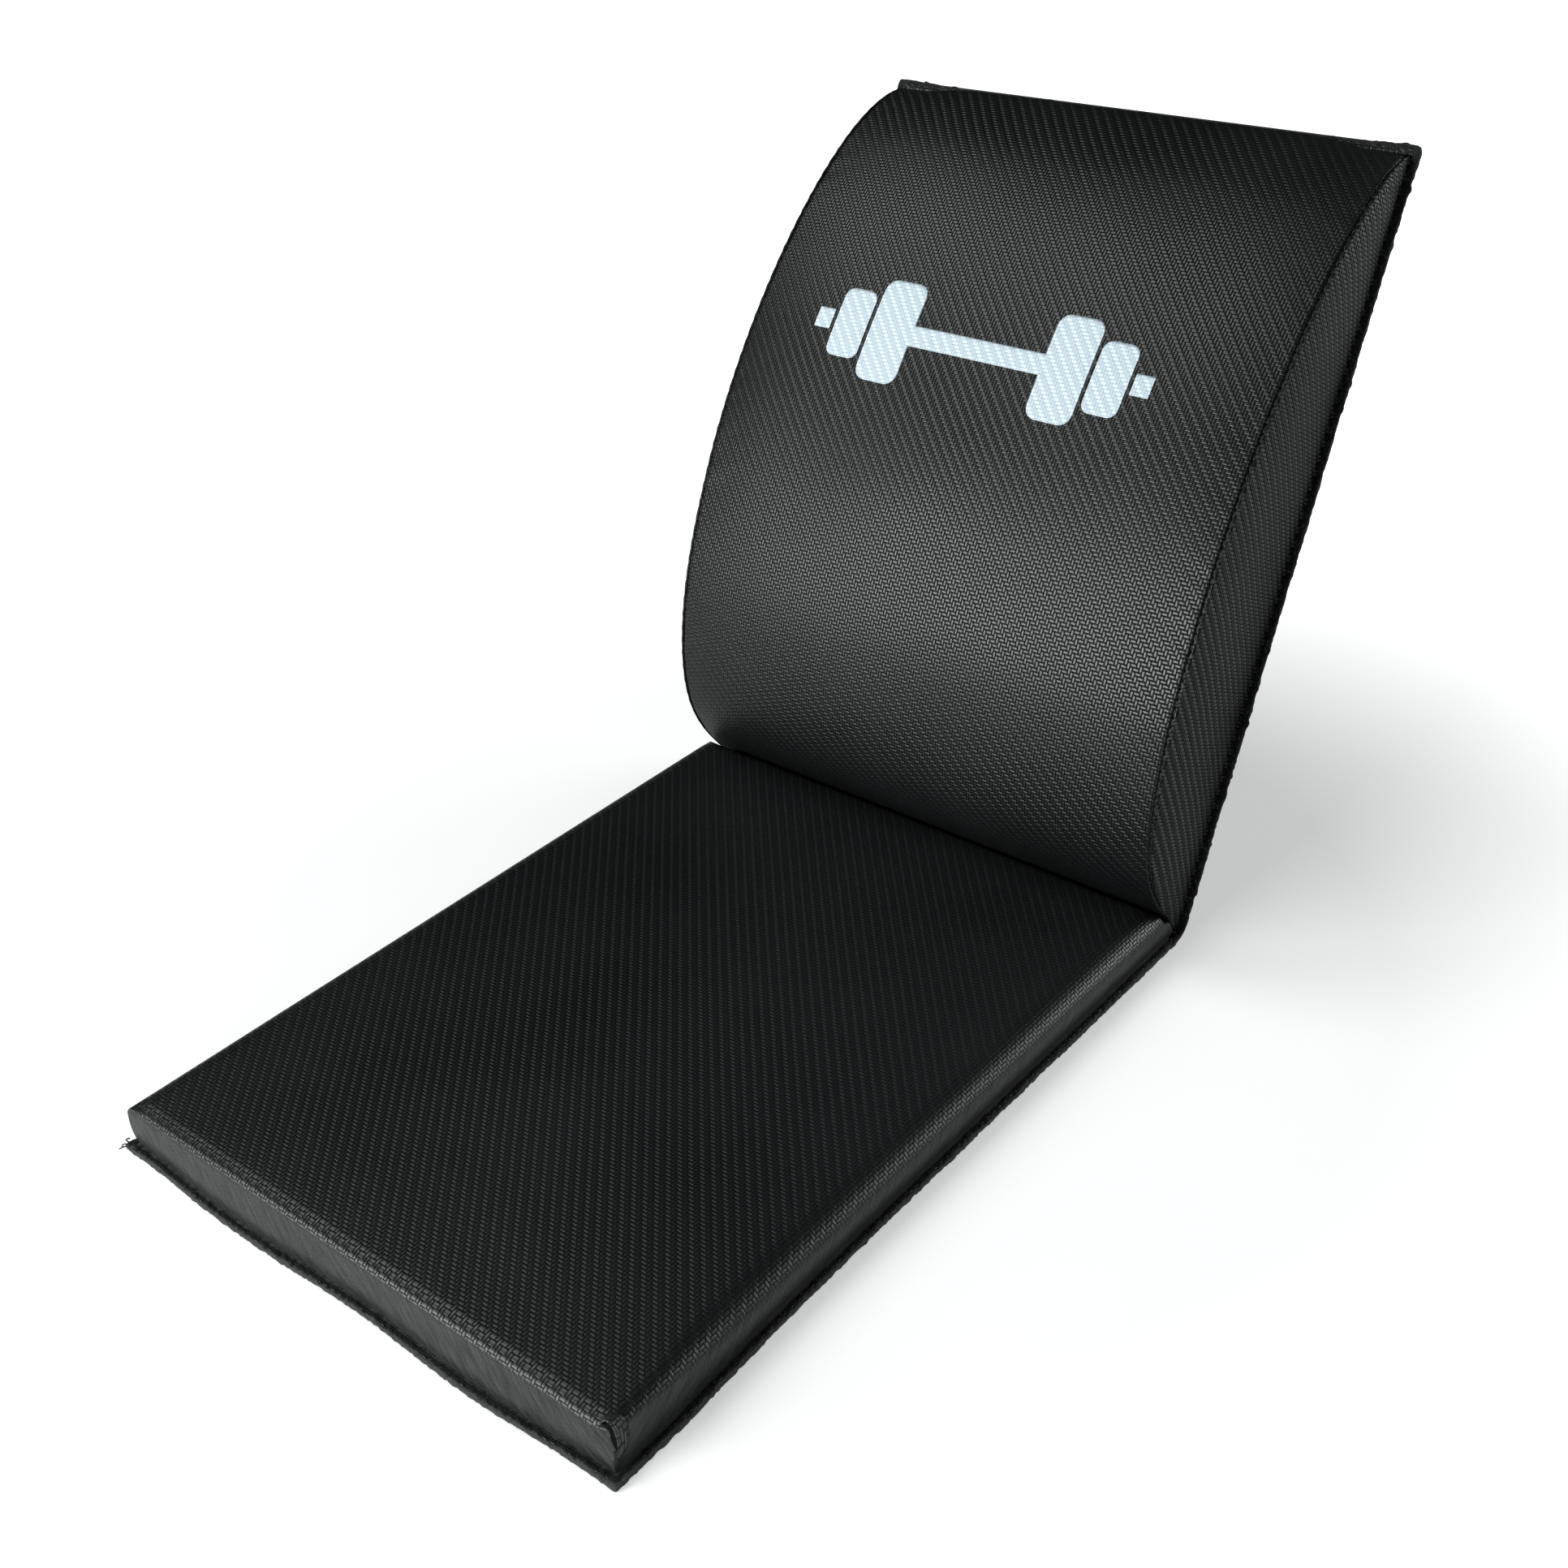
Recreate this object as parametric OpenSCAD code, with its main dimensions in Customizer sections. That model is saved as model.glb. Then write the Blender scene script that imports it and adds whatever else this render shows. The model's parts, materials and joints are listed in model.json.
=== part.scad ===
// Folding sit-up mat: a flat tail pad and an arched back pad, joined by a cloth fold line.
// The tail pad lies on the floor along Y with its front at -Y. The back pad stands on the
// fold line, which runs along X at floor level. Both pads are foam in a sewn vinyl cover.

/* [Pads] */
// Width of both pads, wall to wall
pad_w = 305; // [260:5:340]
// Length of the tail pad, from its front wall to the fold line
tail_l = 420; // [360:5:460]
// Thickness of the tail pad
tail_h = 25; // [20:1:32]
// Length of the back pad's base, from the fold line to its top wall
back_l = 400; // [350:5:440]
// Height of the arch above the back pad's base
arch_h = 89; // [75:1:100]

/* [Arch shape] */
// Place of the arch's highest point, as a share of the back pad's length
peak_share = 0.425; // [0.38:0.005:0.5]
// Angle of the wall that rises from the fold line, above the back pad's base
rise_angle = 65; // [60:1:75]

/* [Fold] */
// Angle between the back pad's base and the floor as the mat stands
stand_angle = 62.7; // [50:0.1:72]
// Clearance between the two pads at the fold
pad_gap = 0.6; // [0.4:0.1:1.5]
// Width of each half of the cloth strip under the fold line
strip_w = 30; // [20:1:45]

/* [Cover] */
// Thickness of the vinyl with its backing
skin = 1.2; // [0.8:0.1:1.6]
// Radius of the tail pad's rolled top edges
edge_r = 9; // [6:0.5:12]
// Reach of the sewn flange beyond the walls, tape included
flange_w = 5; // [4:0.5:8]

/* [Edge tape] */
// Thickness of the tape
tape_t = 0.6; // [0.4:0.1:0.8]
// Groove between the tape and the wall
groove_w = 0.8; // [0.4:0.1:1.5]

/* [Thread] */
// Width of a thread row
thread_w = 0.6; // [0.4:0.1:1]
// Height of a thread row
thread_t = 0.3; // [0.2:0.05:0.4]
// Distance of the arch's thread rows from the side seams
seam_inset = 2.2; // [1.5:0.1:4]

/* [Print] */
// Length of the printed sign
sign_l = 206; // [150:1:230]
// Height of the printed sign
sign_h = 55; // [40:1:60]
// Distance of the sign's middle from the fold line, along the base
sign_s = 261; // [250:1:280]
// Sideways place of the sign's middle
sign_x = -9; // [-15:1:15]

/* [Hidden] */
$fn = 48;

far = 1000;
half_w = pad_w / 2;
// Layers of the sewn edge, counted up from each pad's base
base_z = tape_t;
flange_z = base_z + skin;
upper_z = flange_z + skin;
edge_top = upper_z + tape_t;
// Outermost reach of the flange inside the tape
flange_in = flange_w - tape_t;
// Middle of the tape's upper leg, measured from the wall
leg_mid = (groove_w + flange_w) / 2;

// The origin is under the middle of the standing mat's box
back_reach = (back_l + flange_w) * cos(stand_angle);
fold_y = ((tail_l + flange_w) - back_reach) / 2;

// The arch's side profile rises in a straight wall from the fold, blends into a crown and
// runs down to the top wall. Heights are above the base, s runs along it from the fold.
peak = peak_share * back_l;
blend_power = 6;
function rise_h(s) = s * tan(rise_angle);
function crown_h(s) = arch_h * sqrt(1 - pow(1 - s / peak, 2.5));
function soft_min(a, b) = pow(pow(a, -blend_power) + pow(b, -blend_power), -1 / blend_power);
function near_h(s) = soft_min(rise_h(s), crown_h(s));
function far_h(s) = arch_h * pow(1 - pow((s - peak) / (back_l - peak), 1.8), 0.625);

near_steps = 16;
far_steps = 26;
near_points = [for (i = [1:near_steps]) let (s = peak * (1 - cos(90 * i / near_steps))) [s, near_h(s)]];
far_points = [for (i = [1:far_steps]) let (s = peak + (back_l - peak) * sin(90 * i / far_steps))
    [s, far_h(s)]];
arch_points = concat([[0, 0]], near_points, far_points);

function unit(v) = v / norm(v);
function outward(v) = [-v[1], v[0]];
last_i = len(arch_points) - 1;
function arch_normal(i) = outward(unit(arch_points[min(i + 1, last_i)] - arch_points[max(i - 1, 0)]));
function offset_arch(d) = [for (i = [0:last_i]) arch_points[i] + d * arch_normal(i)];

// Side profile of the arch moved out by d, closed well below the base
module arch_outline(d) {
    moved = offset_arch(d);
    polygon(concat([[moved[0][0], -edge_top]], moved, [[moved[last_i][0], -edge_top]]));
}

// A shape drawn in the (along, up) plane, extruded across the pad from x0 to x1
module across(x0, x1) {
    translate([x0, 0, 0]) rotate([90, 0, 90]) linear_extrude(x1 - x0) children();
}

// Places of the two pads: each is drawn with its base at z = 0 and the fold line at y = 0
module tail_place() {
    translate([0, fold_y, 0]) children();
}

module back_place() {
    translate([0, fold_y, 0]) rotate([stand_angle, 0, 0]) children();
}

// A box from its low to its high corner
module box(low, high) {
    translate(low) cube(high - low);
}

// Box of half width a, from the fold line (and 1 past it) to y = reach
module span_box(a, reach, z0, z1) {
    low_y = min(reach, -1);
    high_y = max(reach, 1);
    box([-a, low_y, z0], [a, high_y, z1]);
}

// ---- Tail pad ----

// Slope of the tail pad's rear wall, which faces the back pad's rising wall
rear_slope = 180 - stand_angle - rise_angle;
function rear_y(z, d) = -z / tan(rear_slope) - (pad_gap + d) / sin(rear_slope);

// The space in front of the rear wall, moved forward by d
module before_rear(d) {
    across(-far, far) polygon([[-far, -1], [rear_y(-1, d), -1], [rear_y(tail_h + 1, d), tail_h + 1],
        [-far, tail_h + 1]]);
}

// Section with rolled top corners: half width a, from z0 to z1, corner radius r
module rolled_section(a, z0, z1, r) {
    translate([-a, z0]) square([2 * a, z1 - r - z0]);
    translate([-a + r, z0]) square([2 * (a - r), z1 - z0]);
    for (side = [-1, 1]) translate([side * (a - r), z1 - r]) circle(r);
}

// Solid of the tail pad, d inside its outer face, standing on z0
module tail_block(d, z0) {
    along_half = tail_l;
    intersection() {
        rotate([90, 0, 0]) linear_extrude(tail_l - d)
            rolled_section(half_w - d, z0, tail_h - d, edge_r - d);
        across(-half_w, half_w) translate([d, 0])
            rolled_section(along_half, z0, tail_h - d, edge_r - d);
        before_rear(d);
    }
}

module tail_foam_core() {
    color([0.16, 0.16, 0.17]) tail_place() tail_block(skin, flange_z);
}

module tail_top_cover() {
    color([0.1, 0.1, 0.11]) tail_place() difference() {
        union() {
            tail_block(0, flange_z);
            intersection() {
                box([-half_w - flange_in, -tail_l - flange_in, flange_z], [half_w + flange_in, 0, upper_z]);
                before_rear(0);
            }
        }
        tail_block(skin, flange_z - 1);
    }
}

// Bottom panel of a pad: its edge lies inside the tape and its middle bears on the floor
module base_panel(reach) {
    way = sign(reach);
    span_box(half_w + flange_in, reach + way * flange_in, base_z, flange_z);
    difference() {
        span_box(half_w + groove_w, reach + way * groove_w, 0, flange_z);
        span_box(half_w + groove_w + 1, way * strip_w, -1, base_z);
    }
}

module tail_base_panel() {
    color([0.07, 0.07, 0.07]) tail_place() intersection() {
        base_panel(-tail_l);
        before_rear(0);
    }
}

// Tape folded over the flange of a pad on three sides, the open side being the fold.
// reach is where the pad's end wall is, along y from the fold line.
module folded_tape(reach) {
    way = sign(reach);
    outer = reach + way * flange_w;
    inner = reach + way * flange_in;
    wall = reach + way * groove_w;
    difference() {
        span_box(half_w + flange_w, outer, 0, edge_top);
        span_box(half_w + flange_in, inner, base_z, upper_z);
        span_box(half_w + groove_w, wall, -1, edge_top + 1);
    }
}

module tail_edge_binding() {
    color([0.05, 0.05, 0.05]) tail_place() intersection() {
        folded_tape(-tail_l);
        before_rear(0);
    }
}

// Thread row on three sides, on the middle of the tape's upper leg
module tape_thread(reach) {
    way = sign(reach);
    difference() {
        span_box(half_w + leg_mid + thread_w / 2, reach + way * (leg_mid + thread_w / 2), edge_top,
            edge_top + thread_t);
        span_box(half_w + leg_mid - thread_w / 2, reach + way * (leg_mid - thread_w / 2), edge_top - 1,
            edge_top + 1);
    }
}

module tail_binding_stitch() {
    color([0.03, 0.03, 0.03]) tail_place() intersection() {
        tape_thread(-tail_l);
        before_rear(0);
    }
}

// Thread row up one corner of the tail pad's wall
module tail_corner_seam(side, y_wall) {
    seam_top = tail_h - edge_r;
    color([0.03, 0.03, 0.03]) tail_place() translate([side * (half_w + thread_t / 2), y_wall, 0])
        box([-thread_t / 2, -thread_w / 2, edge_top + thread_t], [thread_t / 2, thread_w / 2, seam_top]);
}

front_seam_y = -tail_l + seam_inset;
rear_seam_y = rear_y(tail_h, 0) - seam_inset;
module tail_corner_seam_front_left() { tail_corner_seam(-1, front_seam_y); }
module tail_corner_seam_front_right() { tail_corner_seam(1, front_seam_y); }
module tail_corner_seam_rear_left() { tail_corner_seam(-1, rear_seam_y); }
module tail_corner_seam_rear_right() { tail_corner_seam(1, rear_seam_y); }

// ---- Back pad ----

// The space on the back pad's side of its rising wall, above height z0
module behind_rise(z0) {
    top_z = 2 * arch_h;
    across(-far, far)
        polygon([[z0 / tan(rise_angle), z0], [far, z0], [far, top_z], [top_z / tan(rise_angle), top_z]]);
}

module back_foam_core() {
    color([0.16, 0.16, 0.17]) back_place() intersection() {
        across(-half_w + skin, half_w - skin) arch_outline(-skin);
        behind_rise(flange_z);
    }
}

module back_face_panel() {
    color([0.13, 0.13, 0.14]) back_place() intersection() {
        difference() {
            union() {
                across(-half_w + skin, half_w - skin) arch_outline(0);
                box([-half_w + skin, back_l - edge_r, flange_z],
                    [half_w - skin, back_l + flange_in, upper_z]);
            }
            across(-half_w, half_w) arch_outline(-skin);
        }
        behind_rise(flange_z);
    }
}

// side is 1 on the right and -1 on the left
module side_panel(side) {
    mirrored = side < 0 ? 1 : 0;
    color([0.1, 0.1, 0.11]) back_place() mirror([mirrored, 0, 0]) intersection() {
        union() {
            across(half_w - skin, half_w) arch_outline(0);
            box([half_w - skin, 0, flange_z], [half_w + flange_in, back_l + flange_in, upper_z]);
        }
        behind_rise(flange_z);
    }
}

module back_side_panel_left() { side_panel(-1); }
module back_side_panel_right() { side_panel(1); }

module back_base_panel() {
    color([0.07, 0.07, 0.07]) back_place() intersection() {
        base_panel(back_l);
        behind_rise(0);
    }
}

module back_edge_binding() {
    color([0.05, 0.05, 0.05]) back_place() intersection() {
        folded_tape(back_l);
        behind_rise(0);
    }
}

module back_binding_stitch() {
    color([0.03, 0.03, 0.03]) back_place() intersection() {
        tape_thread(back_l);
        behind_rise(0);
    }
}

// Thread row on the face beside a side seam, above where the tail pad touches the arch
module seam_stitch(side) {
    seam_x = side * (half_w - seam_inset);
    seam_s = tail_h;
    color([0.03, 0.03, 0.03]) back_place() intersection() {
        across(seam_x - thread_w / 2, seam_x + thread_w / 2) difference() {
            arch_outline(thread_t);
            arch_outline(0);
        }
        box([-far, seam_s, edge_top], [far, back_l + thread_t, far]);
    }
}

module back_seam_stitch_left() { seam_stitch(-1); }
module back_seam_stitch_right() { seam_stitch(1); }

// Flat sign of a dumb-bell: a bar with two weights of unequal height at each end
module sign_outline() {
    bar_h = 0.2 * sign_h;
    big_w = 0.13 * sign_l;
    small_w = 0.1 * sign_l;
    stub_w = 0.05 * sign_l;
    small_h = 0.68 * sign_h;
    gap = 0.012 * sign_l;
    square([sign_l - 2 * (stub_w + small_w + big_w + 2 * gap), bar_h], center = true);
    for (side = [-1, 1]) {
        stub_x = sign_l / 2 - stub_w / 2;
        small_x = sign_l / 2 - stub_w - gap - small_w / 2;
        big_x = small_x - small_w / 2 - gap - big_w / 2;
        translate([side * stub_x, 0]) square([stub_w, bar_h], center = true);
        translate([side * small_x, 0]) rounded_rect(small_w, small_h, small_w / 4);
        translate([side * big_x, 0]) rounded_rect(big_w, sign_h, big_w / 4);
    }
}

module rounded_rect(w, h, r) {
    square([w - 2 * r, h], center = true);
    square([w, h - 2 * r], center = true);
    for (x = [-1, 1], y = [-1, 1]) translate([x * (w / 2 - r), y * (h / 2 - r)]) circle(r);
}

module back_print() {
    ink_t = thread_t;
    color([0.78, 0.82, 0.86]) back_place() intersection() {
        across(-half_w, half_w) difference() {
            arch_outline(ink_t);
            arch_outline(0);
        }
        translate([sign_x, sign_s, edge_top]) linear_extrude(2 * arch_h) sign_outline();
    }
}

// ---- Fold between the pads ----

// Cloth strip under a pad's base beside the fold line, with grooves for its two thread rows
module strip(reach) {
    difference() {
        span_box(half_w + groove_w, reach, 0, base_z);
        strip_threads(reach);
    }
}

module strip_threads(reach) {
    way = sign(reach);
    for (share = [0.35, 0.85]) {
        row_y = way * abs(reach) * share;
        box([-half_w, row_y - thread_w / 2, -1], [half_w, row_y + thread_w / 2, thread_t]);
    }
}

module hinge_strip_tail() {
    color([0.06, 0.06, 0.06]) tail_place() intersection() {
        strip(-strip_w);
        before_rear(0);
    }
}

module hinge_strip_back() {
    color([0.06, 0.06, 0.06]) back_place() intersection() {
        strip(strip_w);
        behind_rise(0);
    }
}

module hinge_stitch_tail() {
    color([0.03, 0.03, 0.03]) tail_place() intersection() {
        strip_threads(-strip_w);
        box([-half_w, -strip_w, 0], [half_w, 0, base_z]);
    }
}

module hinge_stitch_back() {
    color([0.03, 0.03, 0.03]) back_place() intersection() {
        strip_threads(strip_w);
        box([-half_w, 0, 0], [half_w, strip_w, base_z]);
    }
}

tail_foam_core();
tail_top_cover();
tail_base_panel();
tail_edge_binding();
tail_binding_stitch();
tail_corner_seam_front_left();
tail_corner_seam_front_right();
tail_corner_seam_rear_left();
tail_corner_seam_rear_right();
back_foam_core();
back_face_panel();
back_side_panel_left();
back_side_panel_right();
back_base_panel();
back_edge_binding();
back_binding_stitch();
back_seam_stitch_left();
back_seam_stitch_right();
back_print();
hinge_strip_tail();
hinge_strip_back();
hinge_stitch_tail();
hinge_stitch_back();
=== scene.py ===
import json
import math

import bpy
import numpy as np
from mathutils import Matrix, Vector, noise


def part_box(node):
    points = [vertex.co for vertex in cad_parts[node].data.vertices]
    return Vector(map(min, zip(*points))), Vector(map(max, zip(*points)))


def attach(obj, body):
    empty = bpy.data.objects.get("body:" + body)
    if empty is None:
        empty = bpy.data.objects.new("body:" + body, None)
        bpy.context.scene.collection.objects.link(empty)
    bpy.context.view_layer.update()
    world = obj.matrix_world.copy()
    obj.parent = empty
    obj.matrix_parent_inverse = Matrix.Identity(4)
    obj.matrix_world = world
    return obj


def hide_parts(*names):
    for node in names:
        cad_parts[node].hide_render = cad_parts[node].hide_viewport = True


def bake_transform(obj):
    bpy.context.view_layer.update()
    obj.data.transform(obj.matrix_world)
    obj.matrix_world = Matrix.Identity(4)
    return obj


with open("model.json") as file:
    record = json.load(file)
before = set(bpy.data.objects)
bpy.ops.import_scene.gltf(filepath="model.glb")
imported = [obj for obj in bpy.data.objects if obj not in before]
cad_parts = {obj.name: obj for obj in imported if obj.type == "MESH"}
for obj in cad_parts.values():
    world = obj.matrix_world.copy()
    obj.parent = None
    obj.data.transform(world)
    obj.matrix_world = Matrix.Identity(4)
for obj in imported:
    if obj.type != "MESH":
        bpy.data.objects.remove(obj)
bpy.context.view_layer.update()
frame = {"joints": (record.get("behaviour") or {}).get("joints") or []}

MM = 0.001

# ---- sizes from the frame

FOLD = Vector(frame["joints"][0]["pos_m"])
TAIL = "tail_pad"
BACK = "back_pad"
SIDES = {1: "right", -1: "left"}

SKIN = 1.2 * MM
HALF_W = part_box("tail_corner_seam_front_right")[0].x
tape_low, tape_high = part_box("tail_edge_binding")
FLANGE = tape_high.x - HALF_W
EDGE_TOP = tape_high.z
TAIL_L = FOLD.y - tape_low.y - FLANGE
TAIL_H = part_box("tail_top_cover")[1].z
ARCH_H = 89 * MM
RISE = math.radians(65)


def stand_and_length():
    """The back pad's angle above the floor, and its length, from its tape's box."""
    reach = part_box("back_edge_binding")[1] - FOLD
    angle = math.atan2(reach.z, reach.y)
    for _ in range(4):
        angle = math.atan2(reach.z - EDGE_TOP * math.cos(angle), reach.y)
    return angle, reach.y / math.cos(angle) - FLANGE


STAND, BACK_L = stand_and_length()
PEAK = 0.425 * BACK_L
# The plane in which the two pads press on each other, as an angle above the tail pad's base
REAR = math.pi - STAND - RISE

# The tail pad's hem spreads forward in slow waves, and sideways at its front corners.
# Each wave is (size, middle, width), the last two as shares of the half width
HEM_SPREAD = 3.0 * MM
HEM_WAVES = ((3.9 * MM, 0.52, 0.4), (4.2 * MM, -0.45, 0.45))
CORNER_SPREAD = 3.2 * MM
# How far back from the front each spread reaches, and how far in from the sides the second one does
HEM_REACH = 60 * MM
CORNER_REACH = 75 * MM
CORNER_DEPTH = 30 * MM


def tail_point(x, s, h):
    """Row-frame points of the tail pad: s runs forward from the fold, h up from the floor."""
    x, s, h = np.broadcast_arrays(x, s, h)
    spread = HEM_SPREAD + sum(size * bell(x / HALF_W - middle, width) for size, middle, width in HEM_WAVES)
    low = 1 - smooth(h / (0.95 * TAIL_H))
    spread = spread * smooth((s - TAIL_L + HEM_REACH) / HEM_REACH) * low
    sideways = CORNER_SPREAD * bell(TAIL_L - s, CORNER_REACH) * low
    sideways = np.sign(x) * sideways * smooth((np.abs(x) - HALF_W + CORNER_DEPTH) / CORNER_DEPTH)
    return stack(x + sideways, FOLD.y - s - spread, h)


def back_point(x, s, h):
    """Row-frame points of the back pad: s runs up its base from the fold, h out of its base."""
    x, s, h = np.broadcast_arrays(x, s, h)
    c, n = math.cos(STAND), math.sin(STAND)
    return stack(x, FOLD.y + s * c - h * n, s * n + h * c)


# ---- small tools

def smooth(t):
    """0 to 1 with level ends, as t goes from 0 to 1."""
    t = np.clip(t, 0, 1)
    return t * t * (3 - 2 * t)


def bell(distance, width):
    """1 at no distance, falling to 0 past the width."""
    return np.exp(-(distance / width) ** 2)


def stack(*parts):
    """Numbers and grids side by side, as one grid of points."""
    return np.stack(np.broadcast_arrays(*parts), axis=-1)


def unit(rows):
    """Each row of numbers as a vector of length 1."""
    return rows / np.linalg.norm(rows, axis=-1, keepdims=True)


def run_along(steps):
    """The distance run at each point of a line, from the steps between its points."""
    return np.concatenate([[0], np.cumsum(steps)])


def ripple(points, size, seed):
    """Smooth noise from -1 to 1 at each point, with features of about that size."""
    shift = Vector((seed * 7.3, seed * 3.1, seed * 5.7))
    flat = np.asarray(points, float).reshape(-1, 3) / size
    values = [noise.noise(Vector(p) + shift) for p in flat]
    return np.array(values).reshape(np.shape(points)[:-1])


def rounded_steps(n, edge_share=0.5):
    """n + 1 values from 0 to 1, closer together near both ends."""
    t = np.linspace(0, 1, n + 1)
    return (1 - edge_share) * t + edge_share * (1 - np.cos(np.pi * t)) / 2


def put(name, data):
    """A new object in the scene."""
    obj = bpy.data.objects.new(name, data)
    bpy.context.scene.collection.objects.link(obj)
    return obj


def new_object(name, verts, faces, uvs=None, material=None):
    """A mesh object. uvs has one (u, v) in metres for each corner of each face, in order."""
    mesh = bpy.data.meshes.new(name)
    mesh.from_pydata([tuple(v) for v in np.asarray(verts).reshape(-1, 3)], [], [tuple(f) for f in faces])
    if uvs is not None:
        layer = mesh.uv_layers.new(name="Weave")
        layer.data.foreach_set("uv", np.asarray(uvs, np.float32).ravel())
    mesh.polygons.foreach_set("use_smooth", [True] * len(mesh.polygons))
    mesh.update()
    if material:
        mesh.materials.append(material)
    return put(name, mesh)


def grid_faces(rows, cols, start=0, flip=False, wrap=False):
    """Quads of a rows x cols grid of vertices numbered row by row."""
    faces = []
    for r in range(rows - 1):
        for c in range(cols if wrap else cols - 1):
            d = (c + 1) % cols
            quad = (r * cols + c, r * cols + d, (r + 1) * cols + d, (r + 1) * cols + c)
            faces.append(tuple(start + i for i in (quad[::-1] if flip else quad)))
    return faces


def tube_faces(rings, sides, start=0, flip=False):
    """Faces of a closed tube of rings of vertices: its sides, then its two ends."""
    first = tuple(range(start, start + sides))
    last = tuple(i + (rings - 1) * sides for i in first)
    ends = [first, last[::-1]] if flip else [first[::-1], last]
    return grid_faces(rings, sides, start, flip, wrap=True) + ends


def per_corner(faces, uv):
    """The (u, v) at each corner of each face, from one at each vertex."""
    flat = uv.reshape(-1, 2)
    return [tuple(flat[i]) for f in faces for i in f]


def join(parts):
    """One (vertices, faces) pair from several."""
    verts, faces = [], []
    for part_verts, part_faces in parts:
        faces += [tuple(len(verts) + i for i in f) for f in part_faces]
        verts += list(part_verts)
    return verts, faces


def grid_object(name, points, uv, material, flip=False):
    """A sheet from a grid of points (rows, cols, 3) with a grid of (u, v)."""
    faces = grid_faces(*points.shape[:2], flip=flip)
    return new_object(name, points, faces, per_corner(faces, uv), material)


def shell(obj, thickness):
    """Gives a sheet its thickness, inwards, as real geometry."""
    modifier = obj.modifiers.new("shell", "SOLIDIFY")
    modifier.thickness = thickness
    modifier.offset = -1
    modifier.use_even_offset = False
    depsgraph = bpy.context.evaluated_depsgraph_get()
    mesh = bpy.data.meshes.new_from_object(obj.evaluated_get(depsgraph))
    mesh.name = obj.name
    obj.modifiers.clear()
    obj.data = mesh


def finish_piece(obj, body, nodes=()):
    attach(obj, body)
    if nodes:
        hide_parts(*nodes)


# ---- materials

class Nodes:
    """A short way to build the nodes of a material or a world."""

    def __init__(self, owner, shader="Principled BSDF"):
        owner.use_nodes = True
        self.owner = owner
        self.tree = owner.node_tree
        self.shader = self.tree.nodes[shader]

    def link(self, a, b):
        self.tree.links.new(a, b)

    def feed(self, socket, value):
        if isinstance(value, (int, float, tuple)):
            socket.default_value = value
        else:
            self.link(value, socket)

    def paint(self, socket, value):
        """Sets the shader's socket to a number, a colour or a node's output."""
        self.feed(self.shader.inputs[socket], value)

    def outputs(self, kind, inputs, **settings):
        """The outputs of a new node, whose inputs are numbers, colours or other nodes' outputs."""
        node = self.tree.nodes.new(kind)
        for key, value in settings.items():
            setattr(node, key, value)
        for key, value in inputs.items():
            self.feed(node.inputs[key], value)
        return node.outputs

    def place(self):
        return self.outputs("ShaderNodeTexCoord", {})["Object"]

    def weave_map(self):
        return self.outputs("ShaderNodeUVMap", {}, uv_map="Weave")["UV"]

    def split(self, vector):
        return self.outputs("ShaderNodeSeparateXYZ", {0: vector})

    def math(self, operation, *values, clamp=False):
        inputs = dict(enumerate(values))
        return self.outputs("ShaderNodeMath", inputs, operation=operation, use_clamp=clamp)[0]

    def either(self, mask, a, b):
        """a where the mask is 1, b where it is 0."""
        not_masked = self.math("SUBTRACT", 1.0, mask)
        return self.math("ADD", self.math("MULTIPLY", a, mask), self.math("MULTIPLY", b, not_masked))

    def noise(self, scale, detail=3.0, rough=0.55, vector=None):
        inputs = {"Scale": scale, "Detail": detail, "Roughness": rough, "Vector": vector or self.place()}
        return self.outputs("ShaderNodeTexNoise", inputs)["Fac"]

    def ramp(self, factor, low, high):
        """Maps a factor from low..high to 0..1, clamped."""
        inputs = {"Value": factor, "From Min": low, "From Max": high}
        return self.outputs("ShaderNodeMapRange", inputs)["Result"]

    def range(self, factor, a, b):
        """Maps 0..1 to a..b."""
        inputs = {"Value": factor, "To Min": a, "To Max": b}
        return self.outputs("ShaderNodeMapRange", inputs)["Result"]

    def mix(self, factor, a, b):
        return self.outputs("ShaderNodeMix", {"Factor": factor, "A": a, "B": b}, data_type="RGBA")["Result"]

    def bump(self, height, strength, distance, normal=None):
        inputs = {"Height": height, "Strength": strength, "Distance": distance}
        if normal:
            inputs["Normal"] = normal
        return self.outputs("ShaderNodeBump", inputs)["Normal"]

    def camera_ray(self):
        """1 where the camera looks straight at it, 0 for the light it sheds."""
        return self.outputs("ShaderNodeLightPath", {})["Is Camera Ray"]


def new_material(name):
    return Nodes(bpy.data.materials.new(name))


def grey(value):
    return (value, value, value, 1)


# Length round the tape's section
TAPE_ROUND = 12 * MM

DUST = (0.04, 0.042, 0.044, 1)
# The embossed twill repeats every four yarns each way
YARN_U = 6.65 * MM / 4
YARN_V = 7.25 * MM / 4


def twill(n):
    """(height, weft mask) of a 2/2 twill on the Weave map."""
    across, along, _ = n.split(n.weave_map())
    u, v = n.math("DIVIDE", across, YARN_U), n.math("DIVIDE", along, YARN_V)
    weft_at = n.math("FLOORED_MODULO", n.math("ADD", u, n.math("FLOOR", v)), 4.0)
    warp_at = n.math("FLOORED_MODULO", n.math("ADD", v, n.math("FLOOR", u)), 4.0)
    weft_up = n.math("LESS_THAN", weft_at, 2.0)
    weft = pillow(n, n.math("MULTIPLY", weft_at, 0.5), n.math("FRACT", v), 5.5, 3.4)
    warp_along = n.math("MULTIPLY", n.math("SUBTRACT", warp_at, 2.0), 0.5)
    warp = n.math("MULTIPLY", pillow(n, warp_along, n.math("FRACT", u), 4.5, 3.0), 0.76)
    return n.either(weft_up, weft, warp), weft_up


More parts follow.
